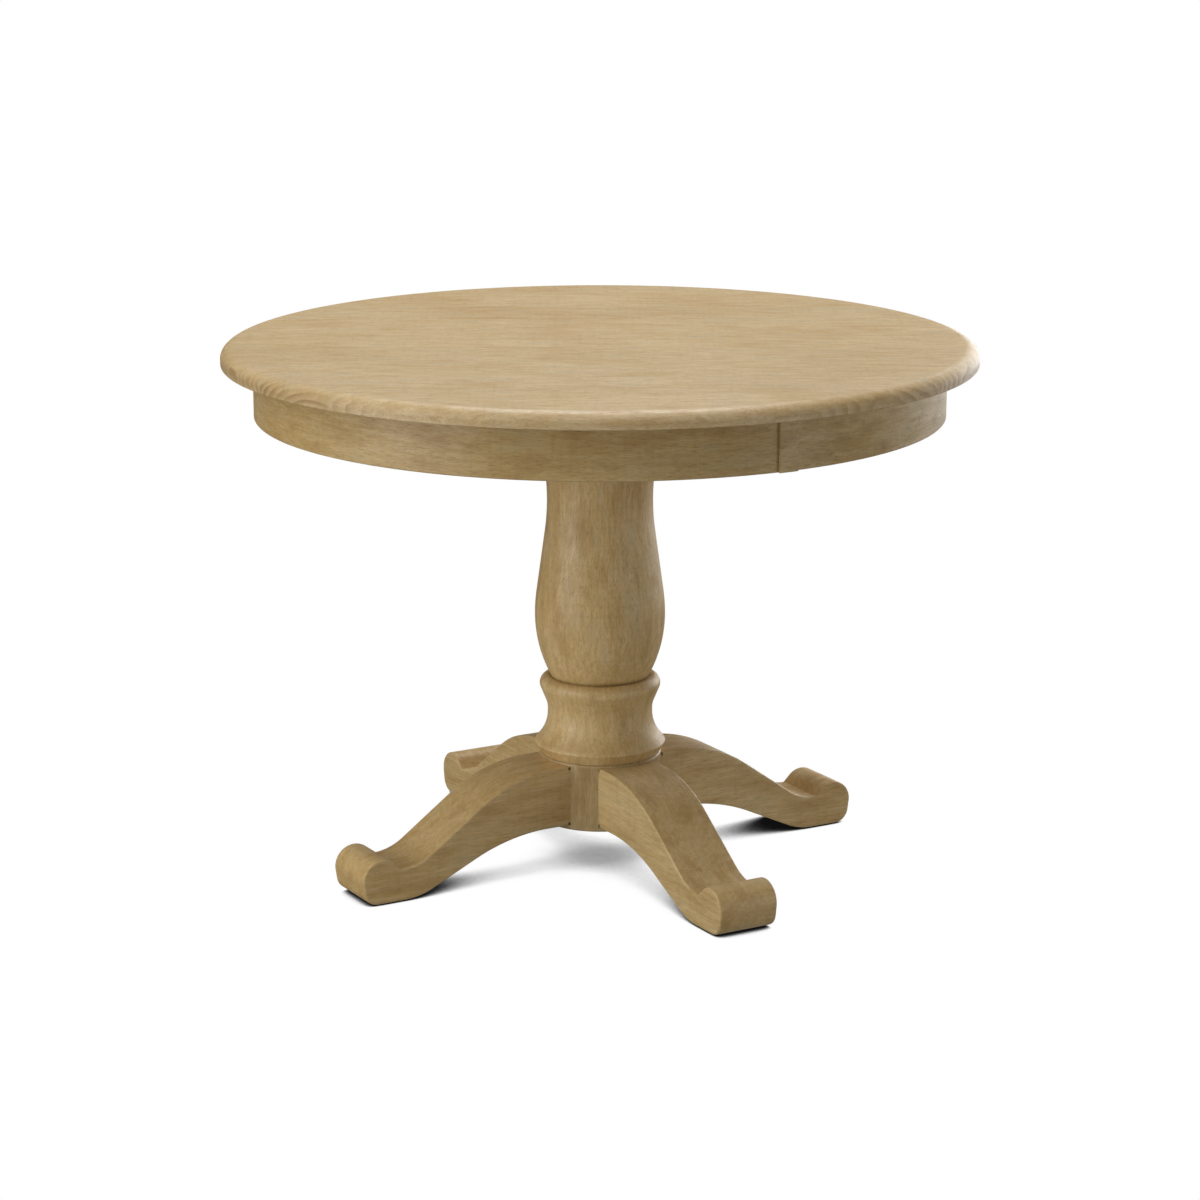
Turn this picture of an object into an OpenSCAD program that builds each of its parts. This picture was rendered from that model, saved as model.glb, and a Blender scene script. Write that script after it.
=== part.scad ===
// Round pedestal dining table.
// A round-edged top on an apron ring is carried by a turned column.
// The column stands on a round hub, and four scroll-footed legs are bolted to the hub.
//
// Frame: the origin is on the floor under the centre of the top, +Z is up,
// and the four legs point along -Y (front), +X (right), +Y (rear) and -X (left).
// All sizes are in millimetres.

/* [Table] */
// Diameter of the tabletop
table_d = 1067; // [800:1:1500]
// Height of the tabletop above the floor
table_h = 760; // [620:1:950]

/* [Top] */
// Thickness of the top
top_t = 23; // [18:0.5:35]
// How far the rounded edge reaches in from the rim to the flat
edge_w = 21; // [8:0.5:30]
// Height of the upright rim under the rounded edge
rim_h = 8; // [4:0.5:10]
// Rounding at the bottom of the rim
rim_round = 1; // [0.5:0.5:3]

/* [Apron] */
// How far the apron stands in from the rim of the top
apron_inset = 45; // [20:1:90]
// Height of the apron
apron_h = 76; // [62:1:120]
// Thickness of the bent apron
apron_t = 20; // [12:1:30]
// Easing of the apron's lower edges
apron_round = 2; // [0.5:0.5:5]
// Open gap at each butt joint between the two apron halves
apron_gap = 1; // [0.5:0.5:4]
// Width of the strip that covers each apron joint
strip_w = 28; // [15:1:50]
// Thickness of the cover strip
strip_t = 4.5; // [3:0.5:8]
// Width of the block behind each apron joint
splice_w = 90; // [60:1:130]
// Thickness of the block behind each apron joint, at its middle
splice_t = 24; // [18:1:40]
// Height of the block behind each apron joint
splice_h = 58; // [45:1:75]
// Width of a glue block along the apron
block_w = 70; // [40:1:90]
// Thickness of a glue block, at its middle
block_t = 28; // [20:1:40]
// Height of a glue block
block_h = 38; // [30:1:60]

/* [Rails] */
// Width of the crossed rails under the top
rail_w = 60; // [45:1:90]
// Height of the crossed rails
rail_h = 42; // [34:1:70]
// Free space between a rail's end and the blocks behind the apron joints
rail_gap = 6; // [2:1:40]
// Height left at a rail's tapered end
rail_end_h = 24; // [20:1:40]
// Length of the taper at a rail's end
rail_taper = 70; // [30:1:85]
// Inset of the outer rail screw from the rail's end
rail_screw_inset = 92; // [88:1:150]
// Distance of the inner rail screw from the centre
rail_screw_in = 195; // [170:1:230]

/* [Mounting plate] */
// Width of the square plate on top of the column
plate_w = 280; // [250:1:330]
// Thickness of the plate
plate_t = 20; // [16:1:30]
// Corner rounding of the plate
plate_corner = 30; // [10:1:60]
// Distance from the centre to each bolt that holds the plate to the rails
plate_bolt_r = 116; // [112:1:118]

/* [Column] */
// Diameter of the column's collar, under the plate
collar_d = 184; // [165:1:196]
// Height of the collar
collar_h = 40; // [15:1:60]
// Diameter of the neck, the thinnest place above the vase
neck_d = 151.5; // [125:0.5:160]
// Distance from the top of the column down to the neck
neck_drop = 141; // [110:1:170]
// Diameter of the vase at its fullest
bulge_d = 187; // [165:0.5:225]
// Height of the fullest place above the column's base
bulge_z = 204; // [190:1:215]
// Turned radius over the fullest place
bulge_curve = 240; // [120:5:320]
// Turned radius through the neck
neck_curve = 340; // [120:5:400]
// Diameter of the vase where it meets the bead
vase_foot_d = 141; // [125:0.5:145]
// Diameter over the bead
bead_d = 174; // [160:0.5:196]
// Radius of the bead's round
bead_r = 12; // [8:0.5:12]
// Height of the bead's middle above the column's base
bead_z = 101; // [96:1:110]
// Turned radius of the cove under the bead
cove_r = 34; // [15:1:40]
// Diameter of the waist between the bead and the base
waist_d = 151; // [140:0.5:158]
// Height of the upper end of the waist above the column's base
waist_hi = 64; // [61:1:66]
// Height of the lower end of the waist above the column's base
waist_lo = 59; // [50:1:60]
// Diameter of the flared base at its lip
base_d = 189; // [170:0.5:225]
// Height of the lip above the column's base
lip_z = 15; // [8:1:24]
// Rounding of the lip
lip_round = 1.5; // [0.5:0.5:3]
// Slope of the underside of the lip, measured from upright
lip_lean = 30; // [10:1:40]

/* [Hub] */
// Diameter of the round hub that carries the legs
hub_d = 176; // [160:1:212]
// Height of the hub's underside above the floor
hub_bottom = 63; // [50:1:80]
// Height of the hub's top above the floor
hub_top = 162; // [150:1:180]
// Edge rounding of the hub
hub_round = 3; // [1:0.5:4]
// Width of the square pocket inside the hub
core_w = 76; // [72:1:80]
// Thickness of wood left over the pocket
core_roof = 20; // [14:1:22]

/* [Legs] */
// Width of a leg
leg_w = 92; // [76:1:112]
// Reach of a foot from the centre of the table
foot_reach = 407; // [340:0.5:490]
// Step down from the top of the hub to the top of a leg
leg_step = 4; // [3:0.5:10]
// Height of a leg's underside above the hub's underside
leg_lift = 7; // [4:0.5:10]
// Length of the level shoulder from the hub to the start of the slope
shoulder = 12; // [6:1:30]
// Radius of the rounded shoulder
shoulder_r = 210; // [90:5:230]
// Radius of the hollow behind the scroll
instep_r = 80; // [30:5:95]
// Diameter of the scroll at the toe
scroll_d = 59; // [50:0.5:62]
// Height of the scroll's centre above the floor
scroll_z = 37; // [35:0.5:42]
// Distance from the scroll's centre back to the notch behind it
notch_back = 30.5; // [28:0.5:40]
// Height of the notch above the floor
notch_z = 48.5; // [42:0.5:54]
// Length of the level underside next to the hub
arch_start = 22; // [8:1:40]
// Radius of the arch under a leg
arch_r = 280; // [120:5:290]
// Radius of the heel, where the arch comes down to the foot
heel_r = 105; // [60:5:170]
// Distance from the scroll's centre back to the heel
heel_back = 36; // [32:1:45]
// How far the front corner of the foot leans in under the scroll
toe_in = 5; // [2:0.5:12]
// Rounding of the front corner of the foot
toe_round = 21; // [8:0.5:24]

/* [Glides] */
// Diameter of a glide
glide_d = 26; // [18:1:32]
// Thickness of a glide
glide_t = 2; // [2:0.5:6]
// Edge rounding of a glide
glide_round = 1; // [0.5:0.5:1.5]
// Distance from the scroll's centre back to the glide's centre
glide_back = 16; // [14:1:18]
// Diameter of a glide's nail
nail_d = 2.5; // [2:0.1:4]
// Length of a glide's nail above the glide
nail_len = 16; // [10:1:25]

/* [Fasteners] */
// Diameter of the tie rod through the column
rod_d = 10; // [8:1:12]
// Clearance around the tie rod, on the diameter
rod_clear = 2; // [0.5:0.5:4]
// Length of rod past each of its nuts
rod_end = 4; // [2:1:4]
// Diameter of the plate under the hub
base_plate_d = 130; // [122:1:140]
// Thickness of the plate under the hub
base_plate_t = 4; // [3:0.5:6]
// Clearance around the plate under the hub, on the diameter
base_plate_clear = 1; // [0.5:0.5:2]
// Diameter of the machine bolts
bolt_d = 8; // [6:1:8]
// Clearance around a machine bolt, on the diameter
bolt_clear = 1; // [0.5:0.5:2]
// Length of a leg's hanger bolt inside the leg
hanger_bite = 60; // [40:1:70]
// Length of a leg's hanger bolt inside the hub's pocket
hanger_end = 15; // [12:1:18]
// Height of the lower hanger bolts above the hub's underside
hanger_lo = 25; // [23:1:27]
// Height of the upper hanger bolts above the hub's underside
hanger_hi = 63; // [60:1:64]
// Diameter of a dowel
dowel_d = 12; // [8:1:14]
// Length of a dowel
dowel_len = 50; // [36:1:56]
// Free depth past each end of a dowel
dowel_clear = 1; // [0.5:0.5:3]
// Sideways distance from a leg's middle to each of its dowels
dowel_side = 28; // [24:1:30]
// Height of a leg's dowels above the hub's underside
dowel_z = 44; // [42:1:46]
// Distance from the centre to the dowels and screws that hold the column
column_fix_r = 62; // [56:1:66]
// Diameter of the large wood screws
screw_d = 5; // [4:0.5:6]
// Diameter of the small wood screws
small_screw_d = 4; // [3:0.5:5]
// How deep a screw bites into the top
top_bite = 13; // [8:1:14]
// How deep a screw bites into the apron
apron_bite = 12; // [8:1:14]

/* [Hidden] */
$fn = 96;
fine_fn = 40;
arc_steps = 20;
eps = 0.01;

FRONT = -90;
RIGHT = 0;
REAR = 90;
LEFT = 180;

top_r = table_d / 2;
under_top = table_h - top_t;

apron_r = top_r - apron_inset;
apron_ir = apron_r - apron_t;
apron_bottom = under_top - apron_h;

rail_bottom = under_top - rail_h;
rail_mid = under_top - rail_h / 2;
rail_half = apron_ir - splice_t - rail_gap;
plate_bottom = rail_bottom - plate_t;

hub_r = hub_d / 2;
core_top = hub_top - core_roof;
column_top = plate_bottom;
column_h = column_top - hub_top;

scroll_r = scroll_d / 2;
scroll_c = [foot_reach - scroll_r, scroll_z];
leg_top = hub_top - leg_step;
leg_under = hub_bottom + leg_lift;
sole = glide_t;
glide_x = scroll_c.x - glide_back;

// Sizes of nuts, washers and inserts as multiples of their thread
nut_high = 0.8;
nut_across = 1.85;
washer_across = 2.6;
insert_across = 1.5;
insert_long = 2;

washer_t = 2;
washer_d = washer_across * bolt_d;
nut_h = nut_high * bolt_d;
nut_d = nut_across * bolt_d;
rod_washer_d = washer_across * rod_d;
rod_nut_h = nut_high * rod_d;
rod_nut_d = nut_across * rod_d;
rod_bottom = hub_bottom - washer_t - rod_nut_h - rod_end;
rod_top = rail_bottom + washer_t + rod_nut_h + rod_end;
nut_room = 4;

insert_d = insert_across * bolt_d;
insert_h = insert_long * bolt_d;
plate_bolt_past = 3;

nail_head_d = 3 * nail_d;
nail_point_d = 0.3;

block_count = 8;

column_screw_d = 6;
column_screw_len = 70;
base_screw_len = 22;
base_screw_r = 54;
base_screw_turn = 22.5;
screw_slack = 0.5;
rail_screw_len = 45;
block_screw_len = 38;
block_screw_side = 16;
splice_screw_x = 26;
splice_screw_z = [16, 42];

pale = [0.80, 0.72, 0.58];
honey = [0.66, 0.56, 0.40];
raw = [0.78, 0.66, 0.47];
zinc = [0.72, 0.73, 0.74];
gold = [0.80, 0.66, 0.32];
nylon = [0.16, 0.15, 0.14];

// ---------------------------------------------------------------- outlines

// Points of an arc, from angle a to angle b
function arc(c, r, a, b, n = arc_steps) =
    [for (i = [0:n]) let (t = a + (b - a) * i / n) c + r * [cos(t), sin(t)]];

// Points of a round of radius r that replaces the corner at b between a and c
function corner(a, b, c, r, n = 6) =
    let (u = (a - b) / norm(a - b), v = (c - b) / norm(c - b))
    let (half = acos(u * v) / 2, mid = b + (u + v) / norm(u + v) * r / sin(half))
    let (p = b + u * r / tan(half) - mid, q = b + v * r / tan(half) - mid)
    let (start = atan2(p.y, p.x), turn = (atan2(q.y, q.x) - start + 540) % 360 - 180)
    arc(mid, r, start, start + turn, n);

// A curve from p to q that leaves and arrives along X: a round of radius r1,
// a straight tangent, then a round of radius r2 the other way.
// Rounds too large for the distance are limited to what fits.
function s_curve(p, q, r1, r2, n = arc_steps) =
    let (dx = q.x - p.x, h = abs(q.y - p.y), s = sign(q.y - p.y))
    let (k = min(1, (dx * dx + h * h) / (2 * h) / (r1 + r2)), a = k * r1, b = k * r2)
    let (rise = a + b - h, t = atan2(dx, rise) - acos(min(1, (a + b) / norm([dx, rise]))))
    concat(
        [for (i = [0:n]) let (w = t * i / n) p + [a * sin(w), s * a * (1 - cos(w))]],
        [for (i = [0:n]) let (w = t * (n - i) / n) q - [b * sin(w), s * b * (1 - cos(w))]]);

// The part of a round from p to q that arrives at q along Y
function quarter_to(p, q, n = arc_steps) =
    let (dx = q.x - p.x, dy = q.y - p.y, r = (dx * dx + dy * dy) / (2 * abs(dx)))
    let (c = [q.x - sign(dx) * r, q.y], end = asin(dy / r))
    [for (i = [0:n]) let (w = end * (n - i) / n) c + [sign(dx) * r * cos(w), -r * sin(w)]];

function flip(points) = [for (p = points) [p.y, p.x]];
function back(points) = [for (i = [len(points) - 1:-1:0]) points[i]];

// Angle at which a line from p touches the circle c, r
function touch(c, r, p, side) = atan2(p.y - c.y, p.x - c.x) + side * acos(r / norm(p - c));

// The top's edge is a quarter of an ellipse above an upright rim
function top_outline() =
    let (rim = [top_r, under_top], middle = [top_r - edge_w, under_top + rim_h])
    concat([[0, under_top]],
        corner([0, under_top], rim, rim + [0, rim_h], rim_round),
        [for (i = [0:arc_steps]) let (t = 90 * i / arc_steps)
            middle + [edge_w * cos(t), (top_t - rim_h) * sin(t)]],
        [[0, table_h]]);

// Half outline of the turned column, from its base up
function column_outline() =
    let (lip = [base_d / 2, hub_top + lip_z])
    let (foot = [lip.x - lip_z * tan(lip_lean), hub_top])
    let (waist = waist_d / 2, bead = bead_d / 2, bulge = bulge_d / 2, neck = neck_d / 2)
    let (bead_c = [bead - bead_r, hub_top + bead_z], bead_top = bead_c.y + bead_r)
    let (fullest = [bulge, hub_top + bulge_z], neck_at = [neck, column_top - neck_drop])
    let (flare_up = quarter_to(lip + [0, lip_round], [waist, hub_top + waist_lo]))
    concat([[0, hub_top], foot],
        corner(foot, lip, flare_up[2], lip_round, 4),
        [for (i = [2:len(flare_up) - 1]) flare_up[i]],
        flip(s_curve([hub_top + waist_hi, waist], [bead_c.y, bead], cove_r, bead_r)),
        arc(bead_c, bead_r, 0, 90),
        quarter_to([vase_foot_d / 2, bead_top], fullest),
        flip(s_curve([fullest.y, bulge], [neck_at.y, neck], bulge_curve, neck_curve)),
        back(quarter_to([collar_d / 2, column_top - collar_h], neck_at)),
        [[collar_d / 2, column_top], [0, column_top]]);

// Side outline of a leg: X is the distance from the table's centre
function leg_outline() =
    let (inner = core_w / 2, notch = [scroll_c.x - notch_back, notch_z])
    let (toe = [foot_reach - toe_in, sole], heel = [scroll_c.x - heel_back, sole])
    let (low = touch(scroll_c, scroll_r, toe, 1), high = touch(scroll_c, scroll_r, notch, -1))
    let (toe_end = scroll_c + scroll_r * [cos(low), sin(low)])
    concat([[inner, leg_under]],
        s_curve([hub_r + arch_start, leg_under], heel, arch_r, heel_r),
        corner(heel, toe, toe_end, toe_round),
        arc(scroll_c, scroll_r, low, high, 2 * arc_steps),
        back(s_curve([hub_r + shoulder, leg_top], notch, shoulder_r, instep_r)),
        [[inner, leg_top]]);

// ------------------------------------------------------------ shared shapes

function screw_head_d(d) = 2 * d;

// A countersunk wood screw with its head at the origin, pointing up
module wood_screw(d, len, slack = 0) {
    head_h = d / 2;
    tip_h = 1.5 * d;
    tip_d = 0.2 * d;
    cylinder(d1 = screw_head_d(d), d2 = d, h = head_h, $fn = fine_fn);
    cylinder(d = d + slack, h = len - tip_h, $fn = fine_fn);
    translate([0, 0, len - tip_h - eps]) cylinder(d1 = d, d2 = tip_d, h = tip_h, $fn = fine_fn);
}

// The room for such a screw, with a counterbore that lets its head in
module screw_room(d, len, counterbore, slack = 0) {
    wood_screw(d, len, slack);
    translate([0, 0, -counterbore])
        cylinder(d = screw_head_d(d), h = counterbore + eps, $fn = fine_fn);
}

module washer(d, hole) {
    difference() {
        cylinder(d = d, h = washer_t, $fn = fine_fn);
        translate([0, 0, -1]) cylinder(d = hole, h = washer_t + 2, $fn = fine_fn);
    }
}

module hex_nut(d, hole, h) {
    difference() {
        cylinder(d = d, h = h, $fn = 6);
        translate([0, 0, -1]) cylinder(d = hole, h = h + 2, $fn = fine_fn);
    }
}

// Places a child at each leg's direction
module at_legs() {
    for (a = [FRONT, RIGHT, REAR, LEFT]) rotate(a) children();
}

module at_hangers() {
    at_legs() for (z = [hanger_lo, hanger_hi])
        translate([core_w / 2, 0, hub_bottom + z]) rotate([0, 90, 0]) children();
}

module at_leg_dowels() {
    x = sqrt(hub_r * hub_r - dowel_side * dowel_side);
    at_legs() for (side = [-1, 1])
        translate([x, side * dowel_side, hub_bottom + dowel_z]) rotate([0, 90, 0]) children();
}

module at_column_dowels() {
    for (a = [45, 225]) rotate(a) translate([column_fix_r, 0, hub_top]) children();
}

// The column screws point down, with their heads in the top of the plate
module at_column_screws() {
    for (a = [45:90:315]) rotate(a)
        translate([column_fix_r, 0, rail_bottom]) rotate([180, 0, 0]) children();
}

module at_plate_bolts() {
    for (a = [0:90:270]) rotate(a) translate([plate_bolt_r, 0, plate_bottom]) children();
}

module at_rail_screws() {
    for (a = [0:90:270], x = [rail_screw_in, rail_half - rail_screw_inset])
        rotate(a) translate([x, 0, under_top + top_bite - rail_screw_len]) children();
}

module at_base_screws() {
    for (a = [0:90:270]) rotate(a + base_screw_turn)
        translate([base_screw_r, 0, hub_bottom]) children();
}

function block_angle(i) = 180 / block_count + i * 360 / block_count;

module block_top_screw_place() {
    translate([apron_ir - block_t / 2, -block_screw_side, under_top + top_bite - block_screw_len])
        children();
}

module block_apron_screw_place() {
    translate([apron_ir + apron_bite - block_screw_len, block_screw_side, under_top - block_h / 2])
        rotate([0, 90, 0]) children();
}

module splice_screw_places() {
    for (y = [-splice_screw_x, splice_screw_x], z = splice_screw_z)
        translate([apron_ir + apron_bite - block_screw_len, y, under_top - splice_h + z])
            rotate([0, 90, 0]) children();
}

module at_blocks() {
    for (i = [0:block_count - 1]) rotate(block_angle(i)) children();
}

module at_joints() {
    for (a = [FRONT, REAR]) rotate(a) children();
}

// ------------------------------------------------------------------- top

module tabletop() color(pale) difference() {
    rotate_extrude($fn = 240) polygon(top_outline());
    at_rail_screws() wood_screw(screw_d, rail_screw_len);
    at_blocks() block_top_screw_place() wood_screw(small_screw_d, block_screw_len);
}

// ------------------------------------------------------------------ apron

// Half of the bent ring, on the +X side
module apron_half() difference() {
    low_out = [apron_r, apron_bottom];
    low_in = [apron_ir, apron_bottom];
    high_out = [apron_r, under_top];
    high_in = [apron_ir, under_top];
    rotate_extrude($fn = 240) polygon(concat(
        corner(high_in, low_in, low_out, apron_round),
        corner(low_in, low_out, high_out, apron_round),
        [high_out, high_in]));
    translate([apron_gap / 2 - 2 * apron_r, -2 * apron_r, apron_bottom - 1])
        cube([2 * apron_r, 4 * apron_r, apron_h + 2]);
    at_blocks() block_apron_screw_place() wood_screw(small_screw_d, block_screw_len);
    at_joints() splice_screw_places() wood_screw(small_screw_d, block_screw_len);
}

module apron_half_left() color(honey) rotate(180) apron_half();
module apron_half_right() color(honey) apron_half();

module apron_strip(angle) color(honey) rotate(angle) intersection() {
    difference() {
        translate([0, 0, apron_bottom]) cylinder(r = apron_r + strip_t, h = apron_h, $fn = 240);
        translate([0, 0, apron_bottom - 1]) cylinder(r = apron_r, h = apron_h + 2, $fn = 240);
    }
    translate([apron_r / 2, -strip_w / 2, apron_bottom]) cube([apron_r, strip_w, apron_h]);
}

// A block on the +X side whose back fits the inside of the apron
module ring_block(w, t, h) intersection() {
    translate([apron_ir - t, -w / 2, under_top - h]) cube([2 * t, w, h]);
    translate([0, 0, under_top - h - 1]) cylinder(r = apron_ir, h = h + 2, $fn = 240);
}

module splice_block(angle) color(raw) rotate(angle) difference() {
    ring_block(splice_w, splice_t, splice_h);
    splice_screw_places() screw_room(small_screw_d, block_screw_len, splice_t, screw_slack);
}

module glue_block(i) color(raw) rotate(block_angle(i)) difference() {
    ring_block(block_w, block_t, block_h);
    block_top_screw_place() screw_room(small_screw_d, block_screw_len, block_h, screw_slack);
    block_apron_screw_place() screw_room(small_screw_d, block_screw_len, block_t, screw_slack);
}

// ------------------------------------------------------------------ rails

module rail_blank() rotate([90, 0, 0]) translate([0, 0, -rail_w / 2]) linear_extrude(rail_w)
    polygon([
        [-rail_half, under_top], [-rail_half, under_top - rail_end_h],
        [rail_taper - rail_half, rail_bottom], [rail_half - rail_taper, rail_bottom],
        [rail_half, under_top - rail_end_h], [rail_half, under_top]]);

module rail_holes() {
    at_rail_screws() screw_room(screw_d, rail_screw_len, rail_h, screw_slack);
    at_plate_bolts() cylinder(d = insert_d, h = plate_t + insert_h, $fn = fine_fn);
    at_plate_bolts()
        cylinder(d = bolt_d + bolt_clear, h = plate_t + insert_h + plate_bolt_past + 1, $fn = fine_fn);
    translate([0, 0, rail_bottom - 1])
        cylinder(d = rod_washer_d + nut_room, h = rod_top - rail_bottom + 2, $fn = fine_fn);
}

// The half-lap at the crossing: each rail loses half its height over the other's width
module lap(z) translate([-rail_w / 2, -rail_w, z]) cube([rail_w, 2 * rail_w, rail_h / 2 + eps]);

module rail_upper() color(raw) difference() {
    rail_blank();
    lap(rail_bottom - eps);
    rail_holes();
}

module rail_lower() color(raw) rotate(90) difference() {
    rail_blank();
    lap(rail_mid);
    rail_holes();
}

module mounting_plate() color(raw) difference() {
    translate([0, 0, plate_bottom]) linear_extrude(plate_t) {
        square([plate_w - 2 * plate_corner, plate_w], center = true);
        square([plate_w, plate_w - 2 * plate_corner], center = true);
        for (x = [-1, 1], y = [-1, 1])
            translate([x, y] * (plate_w / 2 - plate_corner)) circle(plate_corner);
    }
    at_plate_bolts() translate([0, 0, -1])
        cylinder(d = bolt_d + bolt_clear, h = plate_t + 2, $fn = fine_fn);
    at_column_screws() screw_room(column_screw_d, column_screw_len, 1, screw_slack);
    translate([0, 0, plate_bottom - 1])
        cylinder(d = rod_d + rod_clear, h = plate_t + 2, $fn = fine_fn);
}

// ------------------------------------------------------- column and hub

module column() color(honey) difference() {
    rotate_extrude($fn = 160) polygon(column_outline());
    translate([0, 0, hub_top - 1]) cylinder(d = rod_d + rod_clear, h = column_h + 2, $fn = fine_fn);
    at_column_screws() wood_screw(column_screw_d, column_screw_len);
    at_column_dowels() translate([0, 0, -1])
        cylinder(d = dowel_d, h = 1 + dowel_len / 2 + dowel_clear, $fn = fine_fn);
}

module hub() color(honey) difference() {
    low_mid = [0, hub_bottom];
    low = [hub_r, hub_bottom];
    high = [hub_r, hub_top];
    high_mid = [0, hub_top];
    rotate_extrude($fn = 160) polygon(concat([low_mid],
        corner(low_mid, low, high, hub_round), corner(low, high, high_mid, hub_round),
        [high_mid]));
    translate([-core_w / 2, -core_w / 2, hub_bottom - 1])
        cube([core_w, core_w, core_top - hub_bottom + 1]);
    translate([0, 0, hub_bottom - 1])
        cylinder(d = base_plate_d + base_plate_clear, h = base_plate_t + 1);
    translate([0, 0, core_top - 1]) cylinder(d = rod_d + rod_clear, h = core_roof + 2, $fn = fine_fn);
    at_hangers() translate([0, 0, -1]) cylinder(d = bolt_d + bolt_clear, h = hub_r, $fn = fine_fn);
    at_leg_dowels() dowel_room();
    at_column_dowels() dowel_room();
    at_base_screws() wood_screw(small_screw_d, base_screw_len);
}

module dowel_room() translate([0, 0, -dowel_len / 2 - dowel_clear])
    cylinder(d = dowel_d, h = dowel_len + 2 * dowel_clear, $fn = fine_fn);

module dowel() translate([0, 0, -dowel_len / 2]) cylinder(d = dowel_d, h = dowel_len, $fn = fine_fn);

module hub_base_plate() color(zinc) difference() {
    translate([0, 0, hub_bottom]) cylinder(d = base_plate_d, h = base_plate_t);
    translate([0, 0, hub_bottom - 1])
        cylinder(d = rod_d + rod_clear, h = base_plate_t + 2, $fn = fine_fn);
    at_base_screws() screw_room(small_screw_d, base_screw_len, 1, screw_slack);
}

// ------------------------------------------------------------------- legs

// The inner end of each leg is coped to the round of the hub
module leg(angle) color(honey) difference() {
    rotate(angle) rotate([90, 0, 0]) translate([0, 0, -leg_w / 2])
        linear_extrude(leg_w) polygon(leg_outline());
    translate([0, 0, hub_bottom]) cylinder(r = hub_r, h = hub_top - hub_bottom, $fn = 160);
    at_hangers() cylinder(d = bolt_d, h = hub_r - core_w / 2 + hanger_bite, $fn = fine_fn);
    at_leg_dowels() dowel_room();
    at_legs() translate([glide_x, 0, 0]) cylinder(d = nail_d, h = sole + nail_len, $fn = fine_fn);
}

module glide(angle) color(nylon) rotate(angle) translate([glide_x, 0, 0]) difference() {
    r = glide_d / 2;
    rotate_extrude($fn = fine_fn) polygon(concat([[0, 0]],
        corner([0, 0], [r, 0], [r, glide_t], glide_round), [[r, glide_t], [0, glide_t]]));
    translate([0, 0, glide_t / 2]) cylinder(d = nail_head_d, h = glide_t, $fn = fine_fn);
}

module glide_nails() color(zinc) at_legs() translate([glide_x, 0, glide_t / 2]) {
    cylinder(d = nail_head_d, h = glide_t / 2, $fn = fine_fn);
    cylinder(d = nail_d, h = glide_t / 2 + nail_len - nail_d, $fn = fine_fn);
    translate([0, 0, glide_t / 2 + nail_len - nail_d])
        cylinder(d1 = nail_d, d2 = nail_point_d, h = nail_d, $fn = fine_fn);
}

// -------------------------------------------------------------- fasteners

module tie_rod() color(zinc) translate([0, 0, rod_bottom])
    cylinder(d = rod_d, h = rod_top - rod_bottom, $fn = fine_fn);

module tie_rod_nuts() color(zinc) for (z = [rod_bottom + rod_end, rod_top - rod_end - rod_nut_h])
    translate([0, 0, z]) hex_nut(rod_nut_d, rod_d, rod_nut_h);

module tie_rod_washers() color(zinc) for (z = [hub_bottom - washer_t, rail_bottom])
    translate([0, 0, z]) washer(rod_washer_d, rod_d);

module base_plate_screws() color(zinc) at_base_screws() wood_screw(small_screw_d, base_screw_len);

module leg_hanger_bolts() color(zinc) at_hangers() translate([0, 0, -hanger_end])
    cylinder(d = bolt_d, h = hanger_end + hub_r - core_w / 2 + hanger_bite - 1, $fn = fine_fn);

module leg_bolt_washers() color(zinc) at_hangers() translate([0, 0, -washer_t])
    washer(washer_d, bolt_d);

module leg_bolt_nuts() color(zinc) at_hangers() translate([0, 0, -washer_t - nut_h])
    hex_nut(nut_d, bolt_d, nut_h);

module leg_dowels() color(raw) at_leg_dowels() dowel();

module column_dowels() color(raw) at_column_dowels() dowel();

module column_screws() color(zinc) at_column_screws() wood_screw(column_screw_d, column_screw_len);

module plate_bolts() color(zinc) at_plate_bolts() {
    translate([0, 0, -washer_t - nut_h]) cylinder(d = nut_d, h = nut_h, $fn = 6);
    translate([0, 0, -washer_t - eps])
        cylinder(d = bolt_d, h = washer_t + plate_t + insert_h + plate_bolt_past, $fn = fine_fn);
}

module plate_bolt_washers() color(zinc) at_plate_bolts() translate([0, 0, -washer_t])
    washer(washer_d, bolt_d);

module rail_inserts() color(gold) at_plate_bolts() translate([0, 0, plate_t]) difference() {
    cylinder(d = insert_d, h = insert_h, $fn = fine_fn);
    translate([0, 0, -1]) cylinder(d = bolt_d, h = insert_h + 2, $fn = fine_fn);
}

module rail_screws() color(zinc) at_rail_screws() wood_screw(screw_d, rail_screw_len);

module block_top_screws() color(zinc) at_blocks() block_top_screw_place()
    wood_screw(small_screw_d, block_screw_len);

module block_apron_screws() color(zinc) at_blocks() block_apron_screw_place()
    wood_screw(small_screw_d, block_screw_len);

module splice_screws() color(zinc) at_joints() splice_screw_places()
    wood_screw(small_screw_d, block_screw_len);

// ------------------------------------------------------------------ nodes

tabletop();
apron_half_left();
apron_half_right();
apron_strip(FRONT);  // apron_strip_front
apron_strip(REAR);  // apron_strip_rear
splice_block(FRONT);  // splice_block_front
splice_block(REAR);  // splice_block_rear
glue_block(0);  // glue_block_1
glue_block(1);  // glue_block_2
glue_block(2);  // glue_block_3
glue_block(3);  // glue_block_4
glue_block(4);  // glue_block_5
glue_block(5);  // glue_block_6
glue_block(6);  // glue_block_7
glue_block(7);  // glue_block_8
rail_upper();
rail_lower();
mounting_plate();
column();
hub();
leg(FRONT);  // leg_front
leg(RIGHT);  // leg_right
leg(REAR);  // leg_rear
leg(LEFT);  // leg_left
glide(FRONT);  // glide_front
glide(RIGHT);  // glide_right
glide(REAR);  // glide_rear
glide(LEFT);  // glide_left
glide_nails();
tie_rod();
tie_rod_nuts();
tie_rod_washers();
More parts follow.
